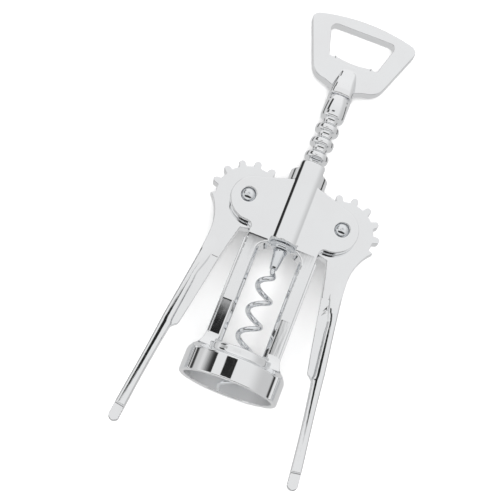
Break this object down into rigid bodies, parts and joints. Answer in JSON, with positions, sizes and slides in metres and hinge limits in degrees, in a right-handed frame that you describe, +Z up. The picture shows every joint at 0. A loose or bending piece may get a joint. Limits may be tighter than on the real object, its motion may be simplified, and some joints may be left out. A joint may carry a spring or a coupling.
{
  "type": "lever corkscrew",
  "caption": "Chrome wing corkscrew: bell on two legs, geared side levers on a grooved rack stem, wire worm, and an opener-shaped handle.",
  "frame": {"origin": "centre of the footprint, on the surface the tool lies on", "axes": "the tool lies on its back: +Z up out of its front, +Y from the bell towards the handle, +X across the levers; its own axis dips about 6 degrees towards the handle"},
  "size_m": [0.0676, 0.169, 0.0347],
  "materials": {
    "chrome": "bright chrome plate over a smooth zinc casting",
    "bright_steel": "plated steel, slightly less bright than the castings"
  },
  "bodies": {
    "frame": {"frame": "chrome", "left_pivot_pin": "bright_steel", "right_pivot_pin": "bright_steel"},
    "left_lever": {"left_lever": "chrome"},
    "right_lever": {"right_lever": "chrome"},
    "carriage": {"stop_washer": "bright_steel"},
    "screw": {"rack_stem": "chrome", "opener_handle": "chrome", "handle_cross_pin": "bright_steel", "stem_collar": "bright_steel", "worm_ferrule": "bright_steel", "worm": "bright_steel"}
  },
  "joints": [
    {"name": "rack_slide", "type": "slide", "parent": "frame", "child": "carriage", "axis": [0, -0.994, 0.109], "range_m": [0, 0.028]},
    {"name": "handle_spin", "type": "hinge", "parent": "carriage", "child": "screw", "pos_m": [0, -0.00615, 0.01187], "axis": [0, -0.994, 0.109], "continuous": true},
    {"name": "left_lever_hinge", "type": "hinge", "parent": "frame", "child": "left_lever", "pos_m": [-0.01745, 0.00503, 0.01065], "axis": [0, 0.109, 0.994], "range_deg": [-127.5, 0]},
    {"name": "right_lever_hinge", "type": "hinge", "parent": "frame", "child": "right_lever", "pos_m": [0.01745, 0.00503, 0.01065], "axis": [0, 0.109, 0.994], "range_deg": [0, 127.5]}
  ],
  "couplings": [
    {"joint": "left_lever_hinge", "follows": "rack_slide", "rad_per_m": -79.293},
    {"joint": "right_lever_hinge", "follows": "rack_slide", "rad_per_m": 79.293}
  ]
}
